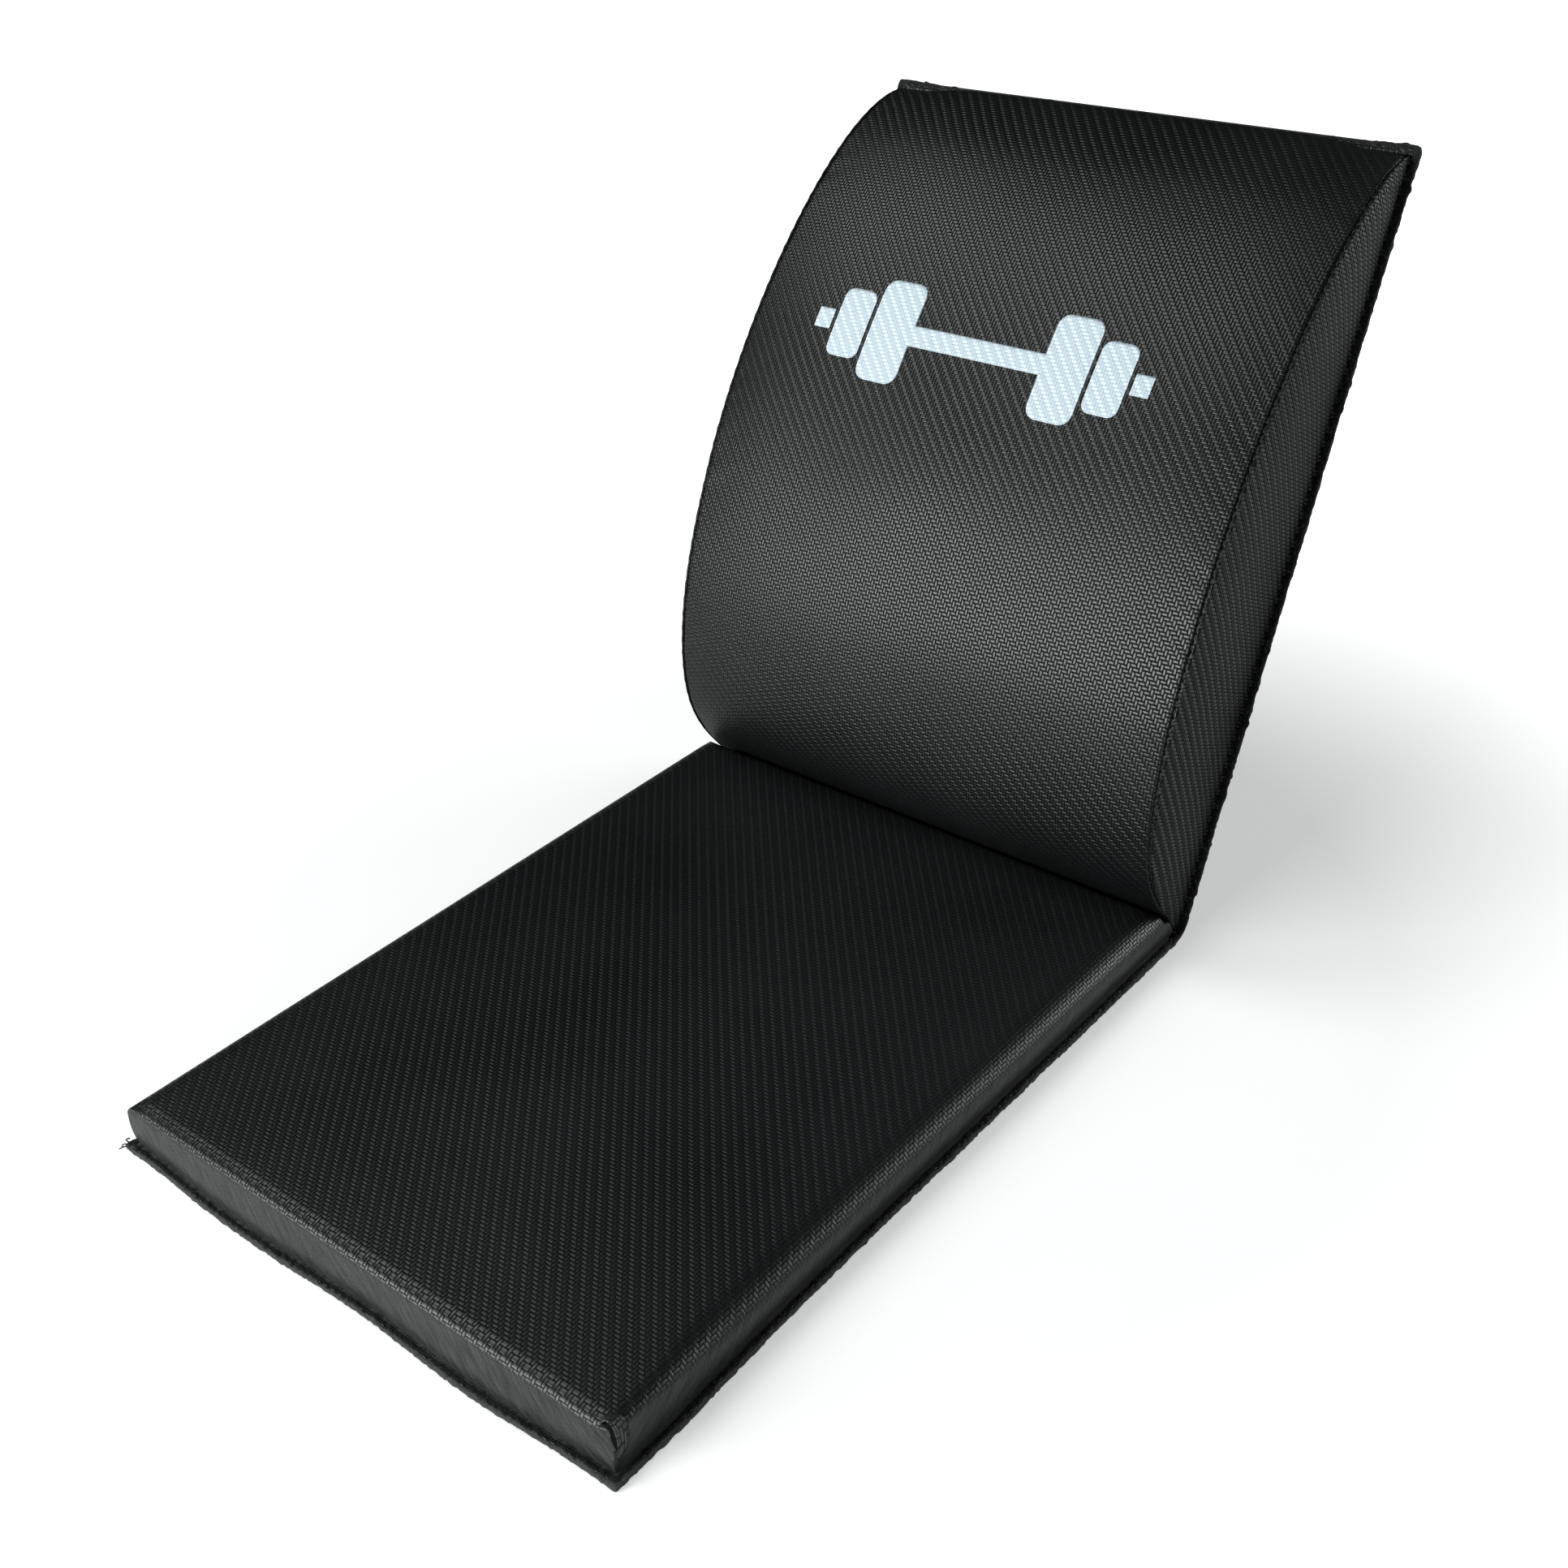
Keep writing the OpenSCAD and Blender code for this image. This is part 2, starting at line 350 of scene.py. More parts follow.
def pillow(n, along, across, end_power=4.0, side_power=2.5):
    """Height of one raised yarn: the higher a power, the flatter the yarn is that way."""
    a = n.math("ABSOLUTE", n.math("MULTIPLY_ADD", along, 2.0, -1.0))
    b = n.math("ABSOLUTE", n.math("MULTIPLY_ADD", across, 2.0, -1.0))
    end_dip = n.math("SUBTRACT", 1.0, n.math("POWER", a, end_power), clamp=True)
    side_dip = n.math("SUBTRACT", 1.0, n.math("POWER", b, side_power), clamp=True)
    return n.math("MULTIPLY", end_dip, side_dip)


def twill_vinyl(name, weft_highlight_colour, warp_colour, gap_shade_colour, gloss=0.46, relief=0.26 * MM,
                wall_sheen_colour=None, patchy=0.0):
    """Embossed vinyl, its gaps painted dark as painted shade in the weave's hollows and its weft floats
    painted lighter than the warp as a painted highlight. With a wall sheen colour, it is drawn smoother and
    painted paler where it runs upright, a painted reflection.
    """
    n = new_material(name)
    height, weft_up = twill(n)
    worn = n.ramp(n.noise(9.0, 4.0), 0.35, 0.75)
    raised = n.ramp(height, 0.12, 0.6)
    # Painted reflection: where the surface runs upright it is painted paler, with less of the painted gap
    # shade
    if wall_sheen_colour:
        upward = n.split(n.outputs("ShaderNodeTexCoord", {})["Normal"])[2]
        wall = n.ramp(upward, 0.8, 0.25)
        raised = n.math("MAXIMUM", raised, n.math("MULTIPLY", wall, 0.8))
    # Painted shade and highlight: the gaps between the yarns take the dark gap shade colour, and the weft
    # floats are painted lighter than the warp
    colour = n.mix(raised, gap_shade_colour, n.mix(weft_up, warp_colour, weft_highlight_colour))
    dust_shade_and_sheen = n.mix(n.math("MULTIPLY", worn, 0.08), colour, DUST)
    if patchy:
        dim = n.ramp(n.noise(13.0, 2.0), 0.45, 0.62)
        dust_shade_and_sheen = n.mix(n.math("MULTIPLY", dim, patchy), dust_shade_and_sheen, gap_shade_colour)
    strength = 1.0
    # Upright walls take the painted reflection colour, in streaks between a third of it and all of it
    if wall_sheen_colour:
        dim_wall_sheen = tuple(0.35 * c for c in wall_sheen_colour[:3]) + (1,)
        dust_shade_and_sheen = n.mix(wall, dust_shade_and_sheen, n.mix(n.ramp(streaks(n), 0.35, 0.65), dim_wall_sheen, wall_sheen_colour))
        strength = n.range(wall, 1.0, 0.4)
    n.paint("Base Color", dust_shade_and_sheen)
    n.paint("Roughness", n.math("ADD", n.range(raised, 0.62, 0.34), n.range(worn, -0.03, 0.04)))
    specular = n.shader.inputs["Specular IOR Level"]
    # The mean, kept as the socket's own value under the link. The mean, for an export
    # that can't carry the pattern
    specular.default_value = 0.7 * gloss
    n.link(n.range(raised, 0.1 * gloss, gloss), specular)
    grain = n.bump(n.noise(2600.0, 2.0), 0.12, 0.1 * MM)
    n.paint("Normal", n.bump(height, strength, relief, grain))
    return n.owner


def streaks(n):
    """Soft streaks along the twill's slant, on the Weave map, that break up the painted reflection on upright
    walls.
    """
    inputs = {"Vector": n.weave_map(), "Rotation": (0, 0, math.radians(45)), "Scale": (1.6 * MM, 14 * MM, 1)}
    slanted = n.outputs("ShaderNodeMapping", inputs, vector_type="TEXTURE")["Vector"]
    return n.noise(1.0, 3.0, vector=slanted)


def ink(name):
    n = new_material(name)
    height, weft_up = twill(n)
    raised = n.ramp(height, 0.1, 0.55)
    cover = n.ramp(n.noise(900.0, 2.0), 0.3, 0.7)
    # The ink on the weft floats is painted lighter than on the warp, a painted highlight
    full = n.mix(weft_up, (0.48, 0.55, 0.62, 1), (0.60, 0.67, 0.74, 1))
    thin = n.mix(cover, (0.25, 0.30, 0.36, 1), (0.42, 0.48, 0.55, 1))
    n.paint("Base Color", n.mix(raised, thin, full))
    n.paint("Roughness", 0.6)
    n.paint("Normal", n.bump(height, 0.5, 0.3 * MM))
    return n.owner


def fuzzy_cloth(name, dark, light, edge, rough, gloss):
    """Folded tape: its Weave map runs along it in u and round it in v, from its outer edge."""
    n = new_material(name)
    fibres = n.noise(1500.0, 5.0, 0.7)
    tufts = n.noise(375.0, 3.0)
    tone = n.ramp(n.math("MULTIPLY", fibres, tufts), 0.12, 0.42)
    from_edge = n.math("PINGPONG", n.split(n.weave_map())[1], TAPE_ROUND / 2)
    # Painted highlight: near its rounded outer edge the tape takes the edge colour
    edge_highlight = n.math("MULTIPLY", n.ramp(from_edge, 3.0 * MM, 2.3 * MM), n.range(tufts, 0.45, 1.0))
    n.paint("Base Color", n.mix(edge_highlight, n.mix(tone, dark, light), edge))
    n.paint("Roughness", n.range(tufts, *rough))
    n.paint("Specular IOR Level", gloss)
    n.paint("Sheen Weight", 0.03)
    n.paint("Sheen Roughness", 0.5)
    n.paint("Normal", n.bump(fibres, 0.7, 0.3 * MM, n.bump(tufts, 1.0, 1.4 * MM)))
    return n.owner


def plain_weave(name, yarn, dark, light, sheen=0.08, gloss=0.5, dot_pitch=0.0):
    """Plain black cloth of crossed yarns, on the Weave map, with rubber grip dots if they have a pitch."""
    n = new_material(name)
    n.paint("Specular IOR Level", gloss)
    across, along, _ = n.split(n.weave_map())
    u, v = n.math("DIVIDE", across, yarn), n.math("DIVIDE", along, yarn)
    odd = n.math("FLOORED_MODULO", n.math("ADD", n.math("FLOOR", u), n.math("FLOOR", v)), 2.0)
    over = pillow(n, n.math("FRACT", u), n.math("FRACT", v))
    under = pillow(n, n.math("FRACT", v), n.math("FRACT", u))
    height = n.either(odd, over, under)
    tone = n.math("ADD", n.math("MULTIPLY", height, 0.7), n.math("MULTIPLY", n.noise(14.0, 4.0), 0.4))
    colour, rough = n.mix(tone, dark, light), n.range(height, 0.85, 0.62)
    normal = n.bump(height, 0.6, 0.3 * MM)
    if dot_pitch:
        aside = [n.math("PINGPONG", way, dot_pitch / 2) for way in (across, along)]
        from_dot = n.math("SQRT", n.math("ADD", *[n.math("POWER", a, 2.0) for a in aside]))
        dot = n.ramp(from_dot, 1.4 * MM, 1.1 * MM)
        colour = n.mix(dot, colour, grey(0.003))
        rough = n.math("SUBTRACT", rough, n.math("MULTIPLY", dot, 0.25))
        normal = n.bump(dot, 0.8, 0.25 * MM, normal)
    n.paint("Base Color", colour)
    n.paint("Roughness", rough)
    n.paint("Sheen Weight", sheen)
    n.paint("Normal", normal)
    return n.owner


def thread_material():
    n = new_material("black_thread")
    twist = n.noise(3200.0, 2.0)
    n.paint("Base Color", n.mix(twist, grey(0.002), (0.012, 0.012, 0.013, 1)))
    n.paint("Roughness", n.range(twist, 0.35, 0.6))
    n.paint("Normal", n.bump(twist, 0.5, 0.1 * MM))
    return n.owner


BLACK = grey(0.001)
VINYL = twill_vinyl("twill_vinyl", (0.005, 0.0052, 0.0058, 1), (0.0035, 0.0035, 0.0042, 1), BLACK)
# The side panels' weft floats are painted far lighter than their warp: painted highlight stripes
SIDE_VINYL = twill_vinyl("twill_vinyl_side", (0.04, 0.041, 0.041, 1), grey(0.003), BLACK,
                         gloss=0.2, relief=0.6 * MM, patchy=0.5)
# The tail pad's copy, with a pale painted reflection on its upright walls
TAIL_VINYL = twill_vinyl("twill_vinyl_tail", (0.0078, 0.008, 0.0088, 1), (0.0055, 0.0056, 0.0063, 1), BLACK,
                         gloss=0.38, relief=0.16 * MM, wall_sheen_colour=(0.042, 0.043, 0.043, 1))
# A much paler copy of the vinyl for the corner fold: a painted highlight on its rim
VINYL_FOLD_HIGHLIGHT = twill_vinyl("twill_vinyl_fold_highlight", (0.035, 0.036, 0.036, 1), (0.025, 0.025, 0.026, 1), grey(0.008))
INK = ink("print_ink")
# The tail's tape has a pale edge colour, a painted highlight on its rounded outer edge
TAPE = fuzzy_cloth("edge_tape_cloth", BLACK, (0.012, 0.012, 0.0115, 1), (0.06, 0.062, 0.06, 1),
                   rough=(0.55, 0.85), gloss=0.13)
# A paler copy of the tape for the back pad and the fold: painted light where the arch keeps the light off it
PALER_BACK_TAPE = fuzzy_cloth("edge_tape_cloth_back_paler", BLACK, grey(0.02), grey(0.018),
                        rough=(0.6, 0.85), gloss=0.12)
BASE_CLOTH = plain_weave("base_cloth", 0.9 * MM, (0.007, 0.007, 0.008, 1), (0.028, 0.028, 0.03, 1),
                         dot_pitch=6 * MM)
HINGE_CLOTH = plain_weave("hinge_cloth", 0.7 * MM, grey(0.006), (0.024, 0.024, 0.025, 1))
# Near-black cloth without shine for the sheet inside the corner fold: painted shade
FOLD_SHADE_CLOTH = plain_weave("vinyl_backing_shade", 0.5 * MM, BLACK, grey(0.003), sheen=0.0, gloss=0.05)
THREAD = thread_material()

# ---- the arch's side profile

def arch_height(s):
    """Height of the arch above its base, at s from the fold, as in the CAD model."""
    s = np.asarray(s, float)
    near = np.clip(s, 1e-7, PEAK)
    rise = near * math.tan(RISE)
    crown = ARCH_H * np.sqrt(np.maximum(1 - (1 - near / PEAK) ** 2.5, 1e-9))
    near_h = (rise ** -6 + crown ** -6) ** (-1 / 6)
    far = np.clip((s - PEAK) / (BACK_L - PEAK), 0, 1)
    far_h = ARCH_H * np.maximum(1 - far ** 1.8, 0) ** 0.625
    return np.where(s <= PEAK, near_h, far_h)


def arch_table():
    """s, h and arc length at close points along the profile, from the fold to the top wall."""
    t = np.linspace(0, 1, 4001)
    s = np.where(t < 0.5, PEAK * (1 - np.cos(np.pi * t)), PEAK + (BACK_L - PEAK) * np.sin(np.pi * (t - 0.5)))
    h = arch_height(s)
    return s, h, run_along(np.hypot(np.diff(s), np.diff(h)))


ARCH_S, ARCH_RISE, ARCH_ALONG = arch_table()
ARC_L = float(ARCH_ALONG[-1])


def arch_curve(v):
    """(s, h, unit normal) of the profile at arc lengths v from the fold."""
    d = 0.5 * MM
    s = np.interp(v, ARCH_ALONG, ARCH_S)
    h = np.interp(v, ARCH_ALONG, ARCH_RISE)
    ds = np.interp(v + d, ARCH_ALONG, ARCH_S) - np.interp(v - d, ARCH_ALONG, ARCH_S)
    dh = np.interp(v + d, ARCH_ALONG, ARCH_RISE) - np.interp(v - d, ARCH_ALONG, ARCH_RISE)
    size = np.hypot(ds, dh)
    return s, h, stack(-dh / size, ds / size)


# ---- back pad: face, sides, print

# Height of the vinyl flange above the base, where it lies inside the tape
FLANGE_MID = 2.4 * MM
# Arc lengths at which the face meets its flange, at the fold and at the top wall
FACE_LOW = FLANGE_MID / math.sin(RISE)
FACE_TOP = ARC_L - FLANGE_MID
# How far the stuffed arch stands out, sideways past its base and up past its side seams
ARCH_SWELL = 3.5 * MM
CROWN = 4.0 * MM
SEAM_PITCH = 4.6 * MM
# The row of thread lies in a valley beside the seam
SEAM_VALLEY = 1.1 * MM


def seam_reach(v):
    """Half width of the arch at arc length v."""
    return HALF_W + ARCH_SWELL * np.sin(np.pi * np.clip(v / ARC_L, 0, 1)) ** 0.6


def arch_fade(v):
    """1 along the arch, falling to 0 where it presses on the tail pad and at the top wall."""
    return smooth((v - 22 * MM) / (55 * MM)) * smooth((ARC_L - v) / (60 * MM))


def face_lift(x, v):
    """How far the face stands off the profile: crowned, swelling, sewn down and puckered at the seams."""
    reach = seam_reach(v)
    across = np.clip(np.abs(x) / reach, 0, 1)
    from_seam = reach - np.abs(x)
    fade = arch_fade(v)
    crown = CROWN * (1 - across ** 5) * fade
    slow = stack(x, v, 5.0)
    swell = 0.8 * MM * ripple(slow, 75 * MM, 5) * (1 - across ** 4) * fade
    # Short folds that run from the stitches into the face, leaning as the cloth pulls
    lean = stack(np.where(x > 0, 3.0, 7.0), v - 0.45 * from_seam, from_seam * 0.25)
    pucker = 0.4 * MM * ripple(lean, 9 * MM, 3) * np.exp(-(from_seam / (14 * MM)) ** 1.5)
    pull = -1.6 * MM * bell(from_seam - SEAM_VALLEY, 0.55 * MM)
    tuck = 0.1 * MM * np.cos(2 * np.pi * v / SEAM_PITCH) * bell(from_seam, 2.2 * MM)
    hold = smooth(fade * 3)
    return crown + swell + (pucker * hold + tuck) * (from_seam > 0) + pull * smooth(v / (15 * MM))


def end_bulge(x, s, h):
    """How far the stuffed top end swells out over its tape, between the corners."""
    between = smooth((HALF_W - np.abs(x)) / (58 * MM))
    above_tape = smooth((h - 3.5 * MM) / (5 * MM)) * bell(np.maximum(h - 8 * MM, 0), 17 * MM)
    return 4.6 * MM * between * above_tape * (s > PEAK)


def face_point(x, v, rise=0.0):
    """Points of the back pad's face: x across, v along the arch from the fold, rise above it."""
    x, v = np.broadcast_arrays(x, v)
    s, h, normal = arch_curve(v)
    lift = face_lift(x, v) + rise
    return back_point(x, s + normal[..., 0] * lift + end_bulge(x, s, h), h + normal[..., 1] * lift)


def across_shares(fine_from_edge, middle_steps):
    """Shares from -1 to 1, with columns at the given distances from both edges."""
    edge = np.array(fine_from_edge) / HALF_W
    inner = np.linspace(-1 + edge[-1], 1 - edge[-1], middle_steps + 1)
    return np.concatenate([-1 + edge[:-1], inner, 1 - edge[:-1][::-1]])


def make_back_face():
    shares = across_shares(np.array([0, 0.35, 0.7, 1.05, 1.4, 1.8, 2.4, 3.4, 5, 7, 10]) * MM, 84)
    v = np.concatenate([np.linspace(FACE_LOW, FACE_TOP - 16 * MM, 292)[:-1],
                        np.linspace(FACE_TOP - 16 * MM, FACE_TOP, 19)])
    share_grid, v_grid = np.meshgrid(shares, v)
    x = share_grid * seam_reach(v_grid)
    points = face_point(x, v_grid)
    # The flange at the top wall, which the tape covers
    flange_s = BACK_L + np.array([0.6, 1.4, 3.0]) * MM
    x_flange = np.broadcast_to(shares * (HALF_W - 0.3 * MM), (3, len(shares)))
    flange = back_point(x_flange, flange_s[:, None], FLANGE_MID)
    flange_v = FACE_TOP + (flange_s - BACK_L)[:, None] + 0 * x_flange
    points = np.concatenate([points, flange])
    uv = np.concatenate([stack(x, v_grid), stack(x_flange, flange_v)])
    face = grid_object("back_face", points, uv, VINYL)
    shell(face, SKIN)
    finish_piece(face, BACK, ["back_face_panel", "back_foam_core"])


# The side cloth runs up the pad, and is stretched across it
SIDE_STRETCH = 0.81


def make_back_side(side):
    """The D-shaped gusset: side is 1 on the right, -1 on the left."""
    inset = 1.0 * MM
    v = np.concatenate([FACE_LOW + inset + 12 * MM * np.linspace(0, 1, 9)[:-1] ** 1.5,
                        np.linspace(FACE_LOW + 13 * MM, FACE_TOP - 10 * MM, 150),
                        FACE_TOP - inset - 9 * MM * np.linspace(1, 0, 9)[1:] ** 1.5])
    s, h_top, _ = arch_curve(v)
    near_seam = np.array([2.4, 1.6, 1.0, 0.5, 0.0]) * MM
    rise = rounded_steps(20, 0.4)
    scale = np.clip(h_top / (12 * MM), 0.15, 1)
    ring_low = FLANGE_MID + np.outer(rise[:-1], h_top - near_seam[0] * scale - FLANGE_MID)
    ring_top = h_top - np.outer(near_seam, scale)
    h = np.concatenate([ring_low, ring_top])
    share = (h - FLANGE_MID) / (h_top - FLANGE_MID)
    deep = np.clip(h_top / (35 * MM), 0, 1)
    belly = 2.6 * MM * np.sin(np.pi * np.clip(share, 0, 1)) ** 0.7 * deep
    slow = stack(11.0 + side, s, h)
    soft = (0.6 * ripple(slow, 45 * MM, 11) + 0.25 * ripple(slow, 14 * MM, 13)) * MM
    soft = soft * np.sin(np.pi * np.clip(share, 0, 1)) * deep
    from_seam = h_top - h
    beads = 1 + 0.35 * np.cos(2 * np.pi * v / SEAM_PITCH)
    lip = 0.7 * MM * bell(from_seam - 0.7 * MM, 0.8 * MM) * beads * deep
    x = HALF_W + (seam_reach(v) - HALF_W) * smooth(share) + belly + soft + lip
    s_grid = s + 0 * h
    flange_x = HALF_W + np.array([3.0, 1.4, 0.5])[:, None] * MM + 0 * s
    x = np.concatenate([flange_x, x])
    h = np.concatenate([np.full((3, len(s)), FLANGE_MID), h])
    s_grid = np.concatenate([np.broadcast_to(s, (3, len(s))), s_grid])
    points = back_point(side * x, s_grid, h)
    uv = stack(-side * SIDE_STRETCH * h, s_grid)
    panel = grid_object(f"back_side_{SIDES[side]}", points, uv, SIDE_VINYL, flip=side < 0)
    shell(panel, SKIN)
    finish_piece(panel, BACK, [f"back_side_panel_{SIDES[side]}"])


SIGN_L = 206 * MM
SIGN_H = 55 * MM
SIGN_X = -9 * MM
SIGN_V = float(np.interp(261 * MM, ARCH_S, ARCH_ALONG))


def plate_patch(middle, width, height, radius, rows=14):
    """(x, v) grid of a rectangle with round corners, made of columns."""
    round_part = radius * (1 - np.cos(np.linspace(0, np.pi / 2, 6)))
    straight = np.linspace(radius, width - radius, max(3, int(width / (4 * MM))))
    x = np.concatenate([round_part[:-1], straight, (width - round_part[::-1])[1:]])
    to_edge = np.minimum(np.minimum(x, width - x), radius)
    half = height / 2 - radius + np.sqrt(np.maximum(radius ** 2 - (radius - to_edge) ** 2, 0))
    share = np.linspace(-1, 1, rows)
    return np.broadcast_to(middle - width / 2 + x, (rows, len(x))), np.outer(share, half)


def make_print():
    """The flat sign of a dumb-bell on the face."""
    bar_h, big_w, small_w, stub_w = 0.2 * SIGN_H, 0.13 * SIGN_L, 0.1 * SIGN_L, 0.05 * SIGN_L
    gap = 0.012 * SIGN_L
    corner = 0.4 * MM
    bar_w = SIGN_L - 2 * (stub_w + small_w + big_w + 2 * gap)
    patches = [plate_patch(0, bar_w, bar_h, corner, 8)]
    for side in (-1, 1):
        small_x = SIGN_L / 2 - stub_w - gap - small_w / 2
        big_x = small_x - small_w / 2 - gap - big_w / 2
        patches.append(plate_patch(side * (SIGN_L - stub_w) / 2, stub_w, bar_h, corner, 8))
        patches.append(plate_patch(side * small_x, small_w, 0.68 * SIGN_H, small_w / 4, 22))
        patches.append(plate_patch(side * big_x, big_w, SIGN_H, big_w / 4, 30))
    patches = [(x + SIGN_X, v + SIGN_V) for x, v in patches]
    verts, faces = join([(face_point(x, v, 0.14 * MM).reshape(-1, 3), grid_faces(*x.shape))
                         for x, v in patches])
    uv = np.concatenate([stack(x, v).reshape(-1, 2) for x, v in patches])
    sign = new_object("back_print_sign", verts, faces, per_corner(faces, uv), INK)
    shell(sign, 0.1 * MM)
    finish_piece(sign, BACK, ["back_print"])


make_back_face()
make_back_side(1)
make_back_side(-1)
make_print()

# ---- tail pad cover

FRONT_ROLL = 5 * MM
LEFT_ROLL = 5 * MM
RIGHT_ROLL = 11 * MM
REAR_ROLL = 7 * MM
# How far the walls lean out at their tops, and in at their feet
WALL_OUT = 2.4 * MM
WALL_IN = 0.7 * MM
FRONT_OUT = 2.8 * MM
LEFT_OUT = 5.4 * MM
# Height of the vinyl flange inside the tape
TAIL_FLANGE = 1.5 * MM
ROLL_STEPS = 8
WALL_STEPS = 10
FLANGE_STEPS = 2


def side_roll(side, s):
    """Radius of the rolled top edge on a side; the right one tightens towards the front corner."""
    if side < 0:
        return LEFT_ROLL
    return RIGHT_ROLL + (FRONT_ROLL - RIGHT_ROLL) * float(smooth((s - TAIL_L + 70 * MM) / (60 * MM)))


def tail_top(x, s):
    """Height of the tail pad's top: crowned, with a slow swell."""
    across = np.clip(np.abs(x) / HALF_W, 0, 1)
    forward = np.clip((s - 20 * MM) / (TAIL_L - 20 * MM), 0, 1)
    crown = 1.8 * MM * (1 - across ** 3) * np.sin(np.pi * forward) ** 0.4
    slow = stack(x, s, 3.0)
    swell = 0.6 * MM * ripple(slow, 80 * MM, 21) * (1 - across ** 4)
    hem = (1 - smooth((TAIL_L - s) / (16 * MM)))
    tuck = 0.25 * MM * ripple(slow, 11 * MM, 23) * hem
    return TAIL_H + crown + (swell * smooth(forward * 8) * smooth((1 - forward) * 8)) + tuck


def wall_section(k, roll, top_z, over=WALL_OUT):
    """(out, height, run) of ring k of a wall whose top edge rolls with that radius, then stands over."""
    if k <= ROLL_STEPS:
        a = 0.5 * math.pi * k / ROLL_STEPS
        return (roll + over) * math.sin(a), top_z - roll * (1 - math.cos(a)), roll * a
    foot = TAIL_FLANGE + 0.5 * MM
    drop = top_z - roll - foot
    if k <= ROLL_STEPS + WALL_STEPS:
        share = (k - ROLL_STEPS) / WALL_STEPS
        lean = over - (over + WALL_IN) * share ** 1.6
        return roll + lean, top_z - roll - share * drop, roll * math.pi / 2 + share * drop
    step = k - ROLL_STEPS - WALL_STEPS
    reach = (0.4 * MM, 3.0 * MM)[step - 1]
    return roll + reach, TAIL_FLANGE, roll * math.pi / 2 + drop + step * MM


def ear_dent(x, z):
    """How far the front wall sinks under the fold of vinyl at its right end."""
    return 5 * MM * bell(HALF_W - x - 0.5 * MM, 3.6 * MM) * bell(z - 18.5 * MM, 5.0 * MM)


class TailCover:
    """The top as a grid, then rings that roll over its edge, run down the walls and out as a flange."""

    def __init__(self, nx=120, ns=150):
        self.nx, self.ns, self.cols = nx, ns, nx + 1
        rear = (TAIL_H - REAR_ROLL) / math.tan(REAR) + REAR_ROLL * 1.6
        s = rear + (TAIL_L - FRONT_ROLL - rear) * rounded_steps(ns, 0.5)
        share = rounded_steps(nx, 0.7)
        low = np.array([-HALF_W + side_roll(-1, v) for v in s])
        high = np.array([HALF_W - side_roll(1, v) for v in s])
        self.x = low[:, None] + np.outer(high - low, share)
        self.s = np.broadcast_to(s[:, None], self.x.shape)
        self.z = tail_top(self.x, self.s)
        self.places = list(stack(self.x, self.s, self.z).reshape(-1, 3))
        self.made = {}

    def ring(self, i, k):
        """The vertex of ring k that starts at top vertex i. Corner vertices move both ways."""
        if k == 0:
            return i
        if (i, k) in self.made:
            return self.made[i, k]
        row, col = divmod(i, self.cols)
        x, s, z = self.places[i]
        heights = []
        if col in (0, self.nx):
            side = 1 if col else -1
            over = WALL_OUT if side > 0 else LEFT_OUT
            out, height, _ = wall_section(k, side_roll(side, s), z, over)
            x += side * out
            heights.append(height)
        if row == self.ns:
            out, height, _ = wall_section(k, FRONT_ROLL, z, FRONT_OUT)
            s += out - ear_dent(x, height)
            heights.append(height)
        if row == 0:
            _, height, _ = wall_section(k, REAR_ROLL, z)
            heights.append(height)
        z = sum(heights) / len(heights)
        if row == 0:
            rolled = s - REAR_ROLL * math.sin(0.5 * math.pi * min(k / ROLL_STEPS, 1))
            contact = z / math.tan(REAR) + 0.9 * MM / math.sin(REAR)
            s = max(rolled, contact)
            if k >= ROLL_STEPS:
                s = contact
        self.places.append(np.array([x, s, z]))
        self.made[i, k] = len(self.places) - 1
        return self.made[i, k]

    def wall_uv(self, name, i, k):
        x0, s0, z0 = self.places[i]
        x1, s1, _ = self.places[self.ring(i, k)]
        if name in ("front", "rear"):
            run = wall_section(k, FRONT_ROLL if name == "front" else REAR_ROLL, z0)[2] if k else 0.0
            return (x1, -(s0 + run)) if name == "front" else (x1, -(s0 - run))
        side = 1 if name == "right" else -1
        run = wall_section(k, side_roll(side, s0), z0)[2] if k else 0.0
        return (x0 + side * run, -s1)

    def build(self):
        faces = grid_faces(self.ns + 1, self.cols, flip=True)
        corners = per_corner(faces, stack(self.x, -self.s))
        edges = {"front": [self.ns * self.cols + c for c in range(self.cols)],
                 "rear": list(range(self.cols)),
                 "left": [r * self.cols for r in range(self.ns + 1)],
                 "right": [r * self.cols + self.nx for r in range(self.ns + 1)]}
        rings = ROLL_STEPS + WALL_STEPS + FLANGE_STEPS
        for name, ids in edges.items():
            for a, b in zip(ids, ids[1:]):
                for k in range(rings):
                    quad = [(a, k), (b, k), (b, k + 1), (a, k + 1)]
                    if name in ("front", "left"):
                        quad.reverse()
                    faces.append(tuple(self.ring(i, j) for i, j in quad))
                    corners += [self.wall_uv(name, i, j) for i, j in quad]
        places = np.array(self.places)
        return tail_point(places[:, 0], places[:, 1], places[:, 2]), faces, corners


def make_tail_cover():
    points, faces, corners = TailCover().build()
    cover = new_object("tail_cover", points, faces, corners, TAIL_VINYL)
    cover.data.set_sharp_from_angle(angle=math.radians(55))
    finish_piece(cover, TAIL, ["tail_top_cover", "tail_foam_core"])


make_tail_cover()

# ---- folds of vinyl at the front corners

def bezier(a, b, c, d, t):
    """Points of a cubic curve; a to d are points or arrays of points, t shares along it."""
    t = np.asarray(t)[..., None]
    return (1 - t) ** 3 * a + 3 * t * (1 - t) ** 2 * b + 3 * t ** 2 * (1 - t) * c + t ** 3 * d


